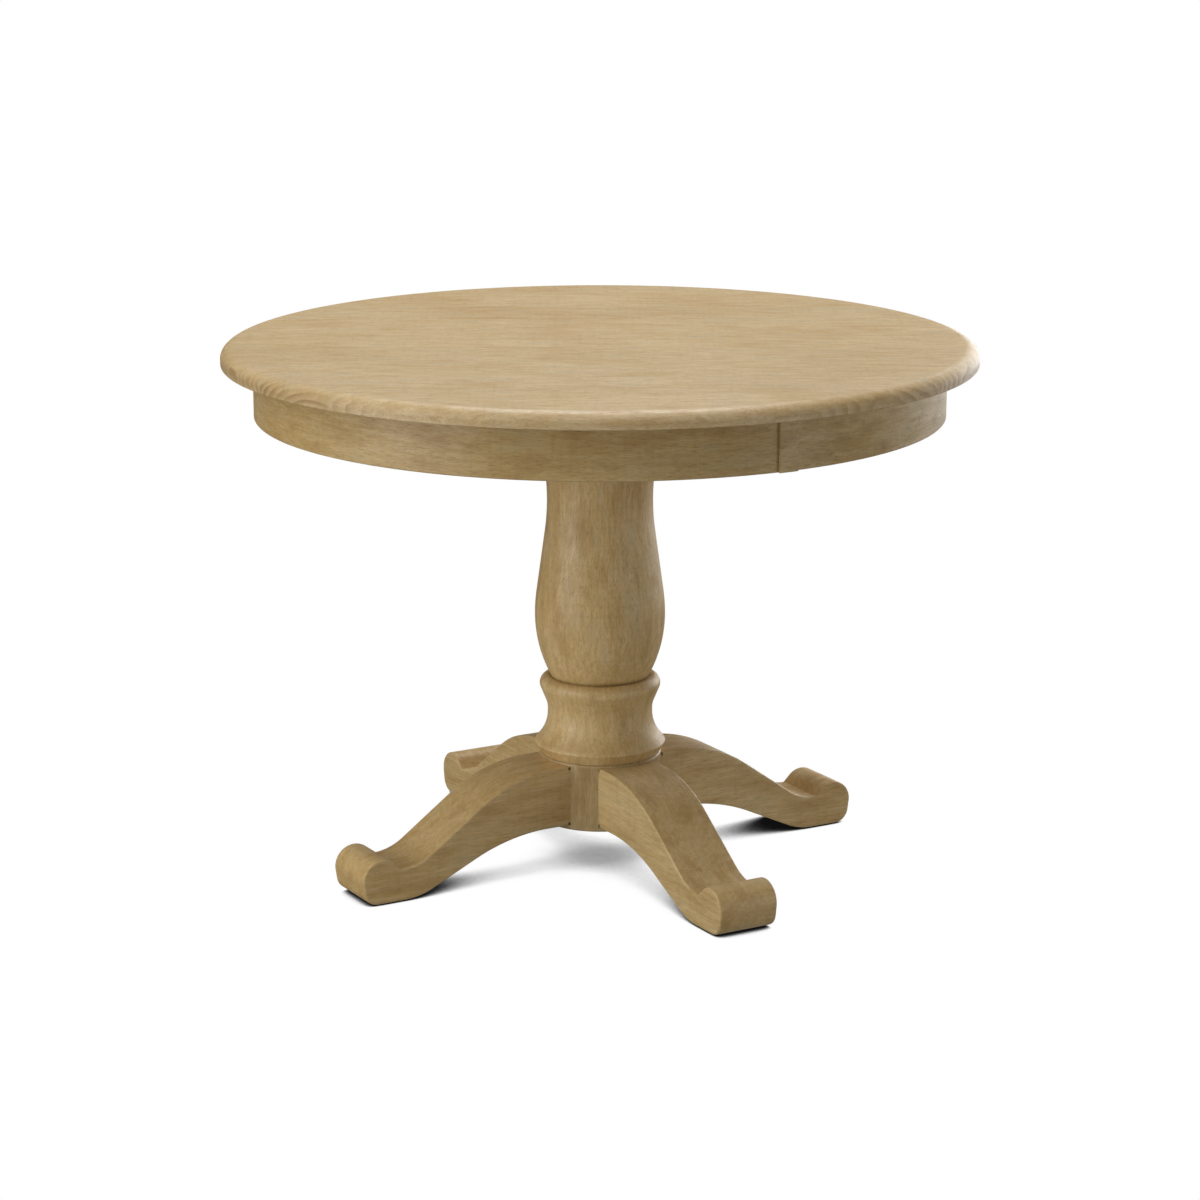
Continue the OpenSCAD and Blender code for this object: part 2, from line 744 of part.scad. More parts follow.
hub_base_plate();
base_plate_screws();
leg_hanger_bolts();
leg_bolt_washers();
leg_bolt_nuts();
leg_dowels();
column_dowels();
column_screws();
plate_bolts();
plate_bolt_washers();
rail_inserts();
rail_screws();
block_top_screws();
block_apron_screws();
splice_screws();
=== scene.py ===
# Round pedestal table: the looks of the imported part.
# Metres, floor at z = 0, the table's axis at x = y = 0; outlines are drawn in millimetres.
import math

import bmesh
import bpy
import numpy as np
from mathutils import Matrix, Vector


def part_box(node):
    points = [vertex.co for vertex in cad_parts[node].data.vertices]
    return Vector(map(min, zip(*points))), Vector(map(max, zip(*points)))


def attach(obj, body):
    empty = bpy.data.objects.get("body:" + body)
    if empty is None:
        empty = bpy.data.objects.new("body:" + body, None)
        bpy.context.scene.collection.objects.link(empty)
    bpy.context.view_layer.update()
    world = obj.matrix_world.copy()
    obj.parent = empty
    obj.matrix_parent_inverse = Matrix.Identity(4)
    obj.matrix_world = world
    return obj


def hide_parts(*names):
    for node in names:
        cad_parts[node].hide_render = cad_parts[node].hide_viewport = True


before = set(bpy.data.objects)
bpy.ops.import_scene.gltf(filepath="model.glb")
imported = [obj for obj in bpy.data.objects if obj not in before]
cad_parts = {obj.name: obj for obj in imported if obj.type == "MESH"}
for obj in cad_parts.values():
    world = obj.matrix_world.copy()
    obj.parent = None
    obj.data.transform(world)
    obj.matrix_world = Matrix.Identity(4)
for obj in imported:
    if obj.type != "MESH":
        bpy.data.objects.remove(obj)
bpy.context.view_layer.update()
MM = 0.001
LEG_SINK = 8  # how far inside the hub's radius a leg's outline starts, in mm


def box_mm(node):
    """Lowest and highest corner of a CAD node, in millimetres."""
    lo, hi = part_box(node)
    return np.array(lo) / MM, np.array(hi) / MM


# ------------------------------------------------------------ outlines, in mm


def arc(c, r, a, b, n=24):
    """Points of an arc about c, from angle a to angle b in degrees."""
    t = np.radians(np.linspace(a, b, n + 1))
    return [np.array([c[0] + r * math.cos(w), c[1] + r * math.sin(w)]) for w in t]


def corner(a, b, c, r, n=8):
    """Points of a round of radius r in place of the corner at b between a and c."""
    a, b, c = (np.array(p, float) for p in (a, b, c))
    u, v = (a - b) / np.linalg.norm(a - b), (c - b) / np.linalg.norm(c - b)
    half = math.acos(u @ v) / 2
    mid = b + (u + v) / np.linalg.norm(u + v) * r / math.sin(half)
    p, q = b + u * r / math.tan(half) - mid, b + v * r / math.tan(half) - mid
    start = math.degrees(math.atan2(p[1], p[0]))
    turn = (math.degrees(math.atan2(q[1], q[0])) - start + 540) % 360 - 180
    return arc(mid, r, start, start + turn, n)


def s_curve(p, q, r1, r2, n=24):
    """From p to q, leaving and arriving along X: a round, a straight line, then a round that
    turns the other way."""
    p, q = np.array(p, float), np.array(q, float)
    dx, h, s = q[0] - p[0], abs(q[1] - p[1]), math.copysign(1, q[1] - p[1])
    k = min(1, (dx * dx + h * h) / (2 * h) / (r1 + r2))
    a, b = k * r1, k * r2
    rise = a + b - h
    t = math.atan2(dx, rise) - math.acos(min(1, (a + b) / math.hypot(dx, rise)))
    w = np.linspace(0, t, n + 1)
    first = [p + [a * math.sin(x), s * a * (1 - math.cos(x))] for x in w]
    last = [q - [b * math.sin(x), s * b * (1 - math.cos(x))] for x in w[::-1]]
    return first + last


def quarter_to(p, q, n=24):
    """The part of a round from p to q that arrives at q along Y."""
    dx, dy = q[0] - p[0], q[1] - p[1]
    r = (dx * dx + dy * dy) / (2 * abs(dx))
    side = math.copysign(1, dx)
    w = np.linspace(math.asin(dy / r), 0, n + 1)
    return [np.array([q[0] + side * r * (math.cos(x) - 1), q[1] - r * math.sin(x)]) for x in w]


def flip(points):
    """The points with their two axes swapped."""
    return [p[::-1] for p in points]


def top_outline(r, low, high):
    """Section of the tabletop: an upright rim under an edge rounded to a quarter of an ellipse."""
    rim_h, reach, arris_r = 8, 21, 1
    edge = [
        [r - reach + reach * math.cos(t), low + rim_h + (high - low - rim_h) * math.sin(t)]
        for t in np.linspace(0, math.pi / 2, 25)
    ]
    rim = corner([0, low], [r, low], [r, low + rim_h], arris_r)
    return [[0, low]] + rim + edge + [[0, high]]


def column_outline(low, high):
    """Section of the turned column, from its base up."""
    lip_r, lip_h, lip_lean, lip_round = 94.5, 15, math.radians(30), 1.5
    waist_r, waist_low, waist_high, hollow_r = 75.5, low + 59, low + 64, 34
    bead_c, bead_r, groove_r = np.array([75.0, low + 101]), 12, 70.5
    fullest, neck, belly_r, neck_r = [93.5, low + 204], [75.75, high - 141], 240, 340
    collar_r, collar_h = 92, 40
    foot, lip = [lip_r - lip_h * math.tan(lip_lean), low], np.array([lip_r, low + lip_h])
    flare = quarter_to(lip + [0, lip_round], [waist_r, waist_low])
    bead_edge = [bead_c[1], bead_c[0] + bead_r]
    waist_to_bead = s_curve([waist_high, waist_r], bead_edge, hollow_r, bead_r)
    # the flare's first two points give way to the round on the lip
    return (
        [[0, low], foot]
        + corner(foot, lip, flare[2], lip_round, 5)
        + flare[2:]
        + flip(waist_to_bead)
        + arc(bead_c, bead_r, 0, 90)
        + quarter_to([groove_r, bead_c[1] + bead_r], fullest)
        + flip(s_curve(fullest[::-1], neck[::-1], belly_r, neck_r))
        + quarter_to([collar_r, high - collar_h], neck)[::-1]
        + [[collar_r, high], [0, high]]
    )


def hub_outline(r, low, high):
    """Section of the hub, with the round recess for the plate under it."""
    recess_r, recess_h, rim_round = 65.5, 4, 3
    return (
        [[0, low + recess_h], [recess_r, low + recess_h], [recess_r, low]]
        + corner([0, low], [r, low], [r, high], rim_round)
        + corner([r, low], [r, high], [0, high], rim_round)
        + [[0, high]]
    )


def leg_outline(hub_r, low, high, reach):
    """Side view of a leg: an arched beam that ends in a scroll. X runs out from the table's
    axis. The two inner corners come first and last, and leg() moves them onto the hub."""
    scroll_r, scroll_z, toe_in, heel_back, toe_round = 29.5, 37.0, 5, 36, 21
    arch_r, heel_r, crest_r, instep_r = 280, 105, 210, 80
    c = np.array([reach - scroll_r, scroll_z])
    notch = c + [-30.5, 11.5]
    toe, heel = np.array([reach - toe_in, low]), np.array([c[0] - heel_back, low])

    def touch(p, side):
        d = p - c
        return math.degrees(math.atan2(d[1], d[0]) + side * math.acos(scroll_r / np.linalg.norm(d)))

    start, end = touch(toe, 1), touch(notch, -1)
    toe_end = arc(c, scroll_r, start, start, 1)[0]
    under, flat_below, flat_above = 70, 22, 12
    return (
        [[hub_r - LEG_SINK, under]]
        + s_curve([hub_r + flat_below, under], heel, arch_r, heel_r)
        + corner(heel, toe, toe_end, toe_round, 16)
        + arc(c, scroll_r, start, end, 48)
        + s_curve([hub_r + flat_above, high], notch, crest_r, instep_r)[::-1]
        + [[hub_r - LEG_SINK, high]]
    )


def refined(points, closed=False):
    """The outline without repeated points, and with more points near the ends of its long
    stretches, so that an arris value fades out close to its corner."""
    fade_steps, own_half, shortest, same = (1.2, 3.5, 9), 0.45, 5, 1e-3
    kept = []
    for p in points:
        p = np.array(p, float)
        if not kept or np.linalg.norm(p - kept[-1]) > same:
            kept.append(p)
    out = []
    for i, p in enumerate(kept):
        out.append(p)
        if i + 1 == len(kept) and not closed:
            break
        q = kept[(i + 1) % len(kept)]
        length = np.linalg.norm(q - p)
        steps = [s for s in fade_steps if s < length * own_half]
        if length > shortest:
            cuts = steps + [length - s for s in reversed(steps)]
            out += [p + (q - p) * (s / length) for s in cuts]
    return out


def bends(points, closed=False, spread=2.5):
    """How sharply the outline turns within about spread mm of each point: 1 on an outer
    arris, -1 in an inner corner."""
    gain, endless = 3.2, 1e9
    pts = np.array(points)
    ahead, behind = np.roll(pts, -1, 0) - pts, pts - np.roll(pts, 1, 0)
    cross = behind[:, 0] * ahead[:, 1] - behind[:, 1] * ahead[:, 0]
    turn = np.arctan2(cross, (behind * ahead).sum(1))
    if not closed:
        turn[[0, -1]] = 0
    run = np.concatenate([[0], np.cumsum(np.linalg.norm(ahead, axis=1))])
    s, total = run[:-1], run[-1] if closed else endless
    gap = np.abs(s[:, None] - s[None, :])
    gap = np.minimum(gap, total - gap)
    near = np.exp(-((gap / spread) ** 2)) / spread
    return np.clip(near @ turn * gain, -1, 1)


# ------------------------------------------------------------ meshes


def piece(name, verts, faces, edge, nodes):
    """A finished mesh that stands for the CAD nodes. edge holds each vertex's arris value."""
    mesh = bpy.data.meshes.new(name)
    mesh.from_pydata([Vector(v) * MM for v in verts], [], faces)
    values = np.array(edge, np.float32)
    mesh.attributes.new("edge", "FLOAT", "POINT").data.foreach_set("value", values)
    bm = bmesh.new()
    bm.from_mesh(mesh)
    bmesh.ops.recalc_face_normals(bm, faces=bm.faces)
    bm.to_mesh(mesh)
    bm.free()
    mesh.shade_smooth()
    mesh.set_sharp_from_angle(angle=math.radians(38))
    obj = bpy.data.objects.new(name, mesh)
    bpy.context.scene.collection.objects.link(obj)
    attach(obj, "root")
    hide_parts(*nodes)
    return obj


def skin(at, n):
    """Faces between the ring of n points that starts at index at and the ring after it."""
    return [[at + i, at + (i + 1) % n, at + n + (i + 1) % n, at + n + i] for i in range(n)]


def turned(name, outline, nodes, steps=256):
    """An outline turned once round the table's axis."""
    points = refined(outline)
    values = bends(points)
    verts, edge, rows = [], [], []
    angles = np.linspace(0, 2 * math.pi, steps, endpoint=False)
    for (r, z), value in zip(points, values):
        ring = angles if r > 1e-6 else angles[:1]
        rows.append([len(verts) + k % len(ring) for k in range(steps)])
        verts += [(r * math.cos(a), r * math.sin(a), z) for a in ring]
        edge += [value] * len(ring)
    faces = []
    for a, b in zip(rows, rows[1:]):
        for k in range(steps):
            j = (k + 1) % steps
            faces.append(list(dict.fromkeys((a[k], a[j], b[j], b[k]))))
    return piece(name, verts, faces, edge, nodes)


def bent(name, section, start, sweep, nodes, steps=128):
    """A closed section (radius, height) carried round the axis by the angle sweep from start."""
    end_arris = 0.5
    points = refined(section, closed=True)
    values = bends(points, closed=True)
    n, verts, edge, faces = len(points), [], [], []
    for k in range(steps + 1):
        a = start + sweep * k / steps
        verts += [(r * math.cos(a), r * math.sin(a), z) for r, z in points]
        end = end_arris if k in (0, steps) else 0
        edge += [max(v, end) for v in values]
        if k:
            faces += skin((k - 1) * n, n)
    faces += [list(range(n)), list(range(steps * n, steps * n + n))]
    return piece(name, verts, faces, edge, nodes)


def offset(points, d):
    """The closed outline moved inward by d."""
    pts = np.array(points)
    ahead, behind = np.roll(pts, -1, 0) - pts, pts - np.roll(pts, 1, 0)
    ahead /= np.linalg.norm(ahead, axis=1)[:, None]
    behind /= np.linalg.norm(behind, axis=1)[:, None]
    inward = [np.stack([-e[:, 1], e[:, 0]], 1) for e in (behind, ahead)]
    return pts + d * (inward[0] + inward[1]) / (1 + (inward[0] * inward[1]).sum(1))[:, None]


def leg(name, node, turn, outline, width, hub_r, ease=3.2):
    """A leg sawn to its outline, with eased edges and its inner end hollowed to sit on the hub.
    Layers of the outline run across the width; turn is the angle the leg points at."""
    past_end, past_hub = hub_r - LEG_SINK + 0.1, hub_r + 1
    side_border, side_arris, ease_arris = 3.5, 0.15, 0.9
    points = [p for p in refined(outline, closed=True) if not past_end < p[0] < past_hub]
    ends = [i for i, p in enumerate(points) if p[0] < past_end]
    values = bends(points, closed=True)
    round_y = [width / 2 - ease * (1 - math.sin(t)) for t in np.linspace(0, math.pi / 2, 7)]
    middle = list(np.linspace(-round_y[0], round_y[0], 13))
    sides = [-y for y in reversed(round_y[1:])] + middle + round_y[1:]
    verts, edge, faces, n = [], [], [], len(points)
    c, s = math.cos(turn), math.sin(turn)

    def layer(y, inset, value):
        shape = offset(points, inset) if inset else np.array(points)
        stop = math.sqrt(hub_r**2 - y**2) + max(0, inset - ease)
        shape[:, 0] = np.maximum(shape[:, 0], stop)
        shape[ends, 0] = stop
        verts.extend((c * x - s * y, s * x + c * y, z) for x, z in shape)
        edge.extend(np.maximum(values, value) if value else values)

    layer(-width / 2, ease + side_border, side_arris)
    for y in sides:
        over = max(0.0, abs(y) - (width / 2 - ease))
        inset = ease - math.sqrt(max(0.0, ease**2 - over**2))
        layer(y, inset, ease_arris * over / ease)
    layer(width / 2, ease + side_border, side_arris)
    count = len(sides) + 2
    for k in range(count - 1):
        faces += skin(k * n, n)
    faces += [list(range(n)), list(range((count - 1) * n, count * n))]
    return piece(name, verts, faces, edge, [node])


# ------------------------------------------------------------ materials


def srgb(r, g, b):
    """Linear colour of an 8-bit sRGB one."""
    c = np.array([r, g, b]) / 255
    c = np.where(c <= 0.04045, c / 12.92, ((c + 0.055) / 1.055) ** 2.4)
    return (*c.tolist(), 1.0)


class Graph:
    """Shorthand for building a node tree."""

    def __init__(self, tree):
        self.tree = tree

    def node(self, kind, inputs=None, **settings):
        """A new node with its settings, and its inputs set or linked."""
        n = self.tree.nodes.new(kind)
        for key, value in settings.items():
            setattr(n, key, value)
        for key, value in (inputs or {}).items():
            if isinstance(value, bpy.types.NodeSocket):
                self.tree.links.new(value, n.inputs[key])
            else:
                n.inputs[key].default_value = value
        return n

    def math(self, operation, a, b=0.0, clamp=False):
        """One arithmetic step on numbers or sockets."""
        n = self.node("ShaderNodeMath", {0: a, 1: b}, operation=operation, use_clamp=clamp)
        return n.outputs[0]

    def vector(self, operation, a, b):
        """One arithmetic step on vectors."""
        return self.node("ShaderNodeVectorMath", {0: a, 1: b}, operation=operation).outputs[0]

    def noise(self, point, stretch, detail=2.0, roughness=0.5):
        """Noise whose features are 1/stretch metres long on each axis."""
        where = self.vector("MULTIPLY", point, stretch)
        inputs = {"Vector": where, "Scale": 1.0, "Detail": detail, "Roughness": roughness}
        return self.node("ShaderNodeTexNoise", inputs)

    def remap(self, value, low, high, to_low=0.0, to_high=1.0, smooth=False):
        """The value carried from the range low to high onto to_low to to_high, and held there."""
        kind = "SMOOTHSTEP" if smooth else "LINEAR"
        inputs = {0: value, 1: low, 2: high, 3: to_low, 4: to_high}
        return self.node("ShaderNodeMapRange", inputs, interpolation_type=kind).outputs[0]

    def mix(self, factor, a, b, blend="MIX"):
        """Colour a with as much of colour b as factor says."""
        inputs = {0: factor, 6: a, 7: b}
        n = self.node("ShaderNodeMix", inputs, data_type="RGBA", blend_type=blend)
        return n.outputs[2]


def new_material(name):
    """A material with its graph and its Principled shader."""
    material = bpy.data.materials.new(name)
    material.use_nodes = True
    return material, Graph(material.node_tree), material.node_tree.nodes["Principled BSDF"]


def figure_group():
    """Node group for solid wood. The point's X runs along the grain, and boards of the width
    Board are glued side by side in Y. Ring is the width of a growth ring."""
    tree = bpy.data.node_groups.new("wood_figure", "ShaderNodeTree")
    sockets = {"Point": "Vector", "Seed": "Float", "Board": "Float", "Ring": "Float"}
    for label, kind in sockets.items():
        tree.interface.new_socket(label, in_out="INPUT", socket_type="NodeSocket" + kind)
    for label in ("Ring", "Streak", "Fibre", "Pore", "Blotch", "Cloud", "Chatter", "Board"):
        tree.interface.new_socket(label, in_out="OUTPUT", socket_type="NodeSocketFloat")
    g = Graph(tree)
    given = g.node("NodeGroupInput").outputs
    out = g.node("NodeGroupOutput")
    axes = g.node("ShaderNodeSeparateXYZ", {0: given["Point"]}).outputs
    # which board, and where in it
    row = g.math("ADD", g.math("DIVIDE", axes["Y"], given["Board"]), given["Seed"])
    index = g.math("FLOOR", row)
    from_middle = g.math("SUBTRACT", g.math("SUBTRACT", row, index), 0.5)
    side = g.math("MULTIPLY", from_middle, given["Board"])
    code = g.math("ADD", g.math("MULTIPLY", index, 3.7), given["Seed"])
    chance = g.node("ShaderNodeTexWhiteNoise", {"W": code}, noise_dimensions="1D")
    odds = g.node("ShaderNodeSeparateXYZ", {0: chance.outputs["Color"]}).outputs
    shift = g.vector("MULTIPLY", chance.outputs["Color"], (3.0, 1.7, 1.1))
    spot = g.vector("ADD", given["Point"], shift)
    # growth rings round a wandering heart that lies under the board's face
    wander = g.noise(spot, (1.6, 9, 9), 2).outputs["Color"]
    warp = g.node("ShaderNodeSeparateXYZ", {0: wander}).outputs
    heart_y = g.remap(odds["X"], 0, 1, -0.05, 0.05)
    heart_z = g.remap(odds["Y"], 0, 1, 0.03, 0.11)
    across = g.math("ADD", g.math("ADD", side, heart_y), g.remap(warp["X"], 0, 1, -0.03, 0.03))
    deep = g.math("ADD", g.math("ADD", axes["Z"], heart_z), g.remap(warp["Y"], 0, 1, -0.03, 0.03))
    radius = g.math("SQRT", g.math("ADD", g.math("POWER", across, 2), g.math("POWER", deep, 2)))
    ring = g.math("FRACT", g.math("DIVIDE", radius, given["Ring"]))
    rise = g.remap(ring, 0.15, 0.86, smooth=True)
    fall = g.remap(ring, 0.9, 1.0, 1, 0, smooth=True)
    fade = g.remap(g.noise(spot, (3, 20, 20), 1).outputs[0], 0.3, 0.7, 0.35, 1.0)
    links = {
        "Ring": g.math("MULTIPLY", g.math("MULTIPLY", rise, fall), fade),
        "Streak": g.noise(spot, (7, 170, 170), 4, 0.6).outputs[0],
        "Fibre": g.noise(spot, (26, 620, 620), 2).outputs[0],
        "Pore": g.remap(g.noise(spot, (48, 1500, 1500), 1).outputs[0], 0.58, 0.7, smooth=True),
        "Blotch": g.noise(spot, (6, 42, 42), 3, 0.55).outputs[0],
        "Cloud": g.noise(spot, (2.2, 6, 6), 3).outputs[0],
        "Chatter": g.noise(spot, (85, 12, 12), 2).outputs[0],
        "Board": odds["Z"],
    }
    for label, socket in links.items():
        tree.links.new(socket, out.inputs[label])
    return tree


FIGURE = figure_group()

# Finish colours: a pale honey stain under a thin grey-brown glaze, whose colour also paints the
# shade in corners and joints
PALE, HONEY, UMBER = srgb(216, 190, 139), srgb(187, 151, 89), srgb(148, 116, 64)
GREY, RUST = srgb(177, 161, 124), srgb(186, 145, 80)
GLAZE_AND_SHADE, ARRIS = srgb(92, 72, 44), srgb(238, 218, 180)
RAW_PALE, RAW_DARK = srgb(206, 176, 126), srgb(160, 122, 76)


def wood(name, turn=(0, 0, 0), shift=(0, 0, 0), seed=0.5, board=0.11, ring=0.007, bent_r=None,
         short=1.0, rings=0.16, end_rings=0.4, mottle=0.08, pale=0.5, raw=False, shine=0.42,
         tint=(1, 1, 1)):
    """Glazed wood, or raw wood inside the table. turn rotates the piece's grain onto X.
    On a bent piece of radius bent_r the grain follows the bend. short shortens the figure
    along the grain; rings sets how dark the growth rings are, and end_rings how much darker
    they are on end grain; mottle is how far the tone wanders from patch to patch; pale is the
    share of the lighter stain; shine is the roughness; tint scales the colour."""
    material, g, shader = new_material(name)
    point = g.node("ShaderNodeTexCoord").outputs["Object"]
    inputs = {"Vector": point, "Location": shift, "Rotation": turn}
    point = g.node("ShaderNodeMapping", inputs).outputs[0]
    normal = g.node("ShaderNodeTexCoord").outputs["Normal"]
    along = g.node("ShaderNodeMapping", {"Vector": normal, "Rotation": turn}, vector_type="NORMAL")
    cut = g.node("ShaderNodeSeparateXYZ", {0: along.outputs[0]}).outputs["X"]
    if bent_r:
        x, y, z = g.node("ShaderNodeSeparateXYZ", {0: point}).outputs
        length = g.math("MULTIPLY", g.math("ARCTAN2", y, x), bent_r)
        depth = g.math("SQRT", g.math("ADD", g.math("POWER", x, 2), g.math("POWER", y, 2)))
        point = g.node("ShaderNodeCombineXYZ", {0: length, 1: z, 2: depth}).outputs[0]
    point = g.vector("MULTIPLY", point, (short, 1, 1))
    inputs = {"Point": point, "Seed": seed, "Board": board, "Ring": ring}
    f = g.node("ShaderNodeGroup", inputs, node_tree=FIGURE).outputs
    # a bent piece shows no end grain
    end = 0.0 if bent_r else g.remap(g.math("ABSOLUTE", cut), 0.25, 0.85, smooth=True)
    # two stains in streaks and clouds, with warmer and greyer patches in the glazed wood
    light, dark = (RAW_PALE, RAW_DARK) if raw else (PALE, HONEY)
    streak = g.remap(f["Streak"], 0.3, 0.7)
    tone = g.math("ADD", g.math("MULTIPLY", streak, 0.6), g.remap(f["Cloud"], 0.3, 0.7, 0.0, 0.4))
    colour = g.mix(g.math("SUBTRACT", tone, pale - 0.5, clamp=True), light, dark)
    if not raw:
        colour = g.mix(g.remap(f["Blotch"], 0.5, 0.7, 0, 0.45), colour, RUST)
        colour = g.mix(g.remap(f["Blotch"], 0.46, 0.26, 0, 0.55), colour, GREY)
    # darker rings, fibres, saw chatter and pores
    ring_depth = g.math("ADD", g.math("MULTIPLY", end, end_rings) if end else 0.0, rings)
    colour = g.mix(g.math("MULTIPLY", f["Ring"], ring_depth), colour, UMBER)
    if end:
        colour = g.mix(g.math("MULTIPLY", end, 0.16), colour, RUST)
    colour = g.mix(g.remap(f["Fibre"], 0.5, 0.72, 0, 0.42), colour, UMBER)
    colour = g.mix(g.remap(f["Chatter"], 0.52, 0.72, 0, 0.12), colour, UMBER)
    colour = g.mix(g.math("MULTIPLY", f["Pore"], 0.35), colour, GLAZE_AND_SHADE)
    # the tone of each patch, of each board and of the whole piece
    patch = g.remap(f["Blotch"], 0.35, 0.65, 1 + mottle, 1 - mottle)
    bright = g.math("MULTIPLY", patch, g.remap(f["Board"], 0, 1, 0.975, 1.025))
    # on the legs the whole piece's tint is painted light
    shade = g.node("ShaderNodeVectorMath", {0: tint, "Scale": bright}, operation="SCALE").outputs[0]
    colour = g.mix(1.0, colour, shade, "MULTIPLY")
    # arrises rubbed paler, and painted shade in corners and joints, darkened with the glaze colour
    # where ambient occlusion finds them closed in
    arris = g.node("ShaderNodeAttribute", attribute_name="edge").outputs["Fac"]
    patchy = g.remap(f["Blotch"], 0.3, 0.65, 0.45, 1.0)
    rubbed = g.math("MULTIPLY", g.remap(arris, 0.1, 1.0, 0, 0.09), patchy)
    colour = g.mix(rubbed, colour, ARRIS)
    # painted shade: ambient occlusion darkens corners and joints
    painted_shade_ao = g.node("ShaderNodeAmbientOcclusion", {"Distance": 0.007}, samples=6).outputs["AO"]
    colour = g.mix(g.remap(painted_shade_ao, 0.72, 0.25, 0, 0.55), colour, GLAZE_AND_SHADE)
    g.tree.links.new(colour, shader.inputs["Base Color"])
    # satin lacquer, duller in the pores, over a grain that can just be felt
    rough = g.remap(f["Streak"], 0.3, 0.7, shine - 0.05, shine + 0.07)
    rough = g.math("ADD", rough, g.math("MULTIPLY", f["Pore"], 0.15))
    g.tree.links.new(rough, shader.inputs["Roughness"])
    sunk = g.math("MULTIPLY", f["Pore"], 0.6)
    height = g.math("SUBTRACT", g.math("MULTIPLY", f["Fibre"], 0.5), sunk)
    height = g.math("ADD", height, g.math("MULTIPLY", f["Streak"], 0.5))
    bump = g.node("ShaderNodeBump", {"Strength": 0.35, "Distance": 0.0006, "Height": height})
    g.tree.links.new(bump.outputs[0], shader.inputs["Normal"])
    return material


def metal(name, colour, tarnish, rough):
    """Plated metal with a cloudy, faintly tarnished skin."""
    material, g, shader = new_material(name)
    shader.inputs["Metallic"].default_value = 1.0
    point = g.node("ShaderNodeTexCoord").outputs["Object"]
    cloud = g.noise(point, (180, 180, 180), 4, 0.6).outputs[0]
    grit = g.noise(point, (2500, 2500, 2500), 2).outputs[0]
    patch = g.remap(cloud, 0.4, 0.75)
    g.tree.links.new(g.mix(patch, colour, tarnish), shader.inputs["Base Color"])
    g.tree.links.new(g.remap(cloud, 0.3, 0.7, rough, rough + 0.2), shader.inputs["Roughness"])
    bump = g.node("ShaderNodeBump", {"Strength": 0.15, "Distance": 0.0002, "Height": grit})
    g.tree.links.new(bump.outputs[0], shader.inputs["Normal"])
    return material


def moulded(name, colour, scuffed):
    """Hard moulded plastic with a fine texture and light scuffs."""
    material, g, shader = new_material(name)
    point = g.node("ShaderNodeTexCoord").outputs["Object"]
    grain = g.noise(point, (1800, 1800, 1800), 2).outputs[0]
    scuff = g.noise(point, (60, 400, 60), 3).outputs[0]
    worn = g.mix(g.remap(scuff, 0.5, 0.8, 0, 0.6), colour, scuffed)
    g.tree.links.new(worn, shader.inputs["Base Color"])
    g.tree.links.new(g.remap(grain, 0.3, 0.7, 0.45, 0.62), shader.inputs["Roughness"])
    bump = g.node("ShaderNodeBump", {"Strength": 0.2, "Distance": 0.0003, "Height": grain})
    g.tree.links.new(bump.outputs[0], shader.inputs["Normal"])
    return material


def paint(obj, material):
    """Give the object this one material."""
    obj.data.materials.clear()
    obj.data.materials.append(material)


# ------------------------------------------------------------ the table

# Turns that bring a piece's grain onto X: upright grain, and the top's, which runs aslant
UP = (0, math.radians(90), 0)
ASLANT = (0, 0, math.radians(30))

low, high = box_mm("tabletop")
top = turned("top", top_outline(high[0], low[2], high[2]), ["tabletop"], 384)
paint(top, wood("wood_top", ASLANT, (0, 0, -high[2] * MM), seed=0.37, board=0.118, ring=0.013,
                short=2.2, rings=0.05, end_rings=0.9, mottle=0.02, pale=0.62,
                tint=(0.94, 0.96, 1.08)))

low, high = box_mm("apron_half_right")
APRON_R, APRON_ROUND = high[1], 2
inner = APRON_R - 20
section = (
    corner([inner, high[2]], [inner, low[2]], [APRON_R, low[2]], APRON_ROUND)
    + corner([inner, low[2]], [APRON_R, low[2]], [APRON_R, high[2]], APRON_ROUND)
    + [[APRON_R, high[2]], [inner, high[2]]]
)
apron_look = {"board": 0.3, "bent_r": APRON_R * MM, "short": 2.5, "rings": 0.1,
              "tint": (0.94, 0.94, 0.9)}
gap = low[0] / APRON_R
for name, middle in (("apron_half_right", 0.0), ("apron_half_left", math.pi)):
    start, sweep = middle - math.pi / 2 + gap, math.pi - 2 * gap
    half = bent(name.replace("half", "ring"), section, start, sweep, [name])
    paint(half, wood("wood_" + name, (0, 0, -middle), seed=0.3 + middle, **apron_look))

low, high = box_mm("apron_strip_rear")
strip_r, strip_half, strip_round = high[1], math.asin(high[0] / high[1]), 1
section = (
    corner([APRON_R, low[2]], [strip_r, low[2]], [strip_r, high[2]], strip_round)
    + [[strip_r, high[2]], [APRON_R, high[2]], [APRON_R, low[2]]]
)
for name, middle in (("apron_strip_rear", math.pi / 2), ("apron_strip_front", -math.pi / 2)):
    strip = bent(name.replace("strip", "cover"), section, middle - strip_half, 2 * strip_half,
                 [name], steps=10)
    paint(strip, wood("wood_" + name, (0, 0, -middle), seed=1.9 + middle, **apron_look))

low, high = box_mm("column")
column = turned("turned_column", column_outline(low[2], high[2]), ["column"])
paint(column, wood("wood_column", UP, seed=0.8, board=0.25, short=2.5, rings=0.08,
                   end_rings=0.15, mottle=0.07, tint=(1.15, 1.15, 1.14)))

low, high = box_mm("hub")
HUB_R = high[0]
hub = turned("round_hub", hub_outline(HUB_R, low[2], high[2]), ["hub"])
paint(hub, wood("wood_hub", UP, seed=2.4, board=0.2, short=2.0, tint=(0.84, 0.84, 0.83)))
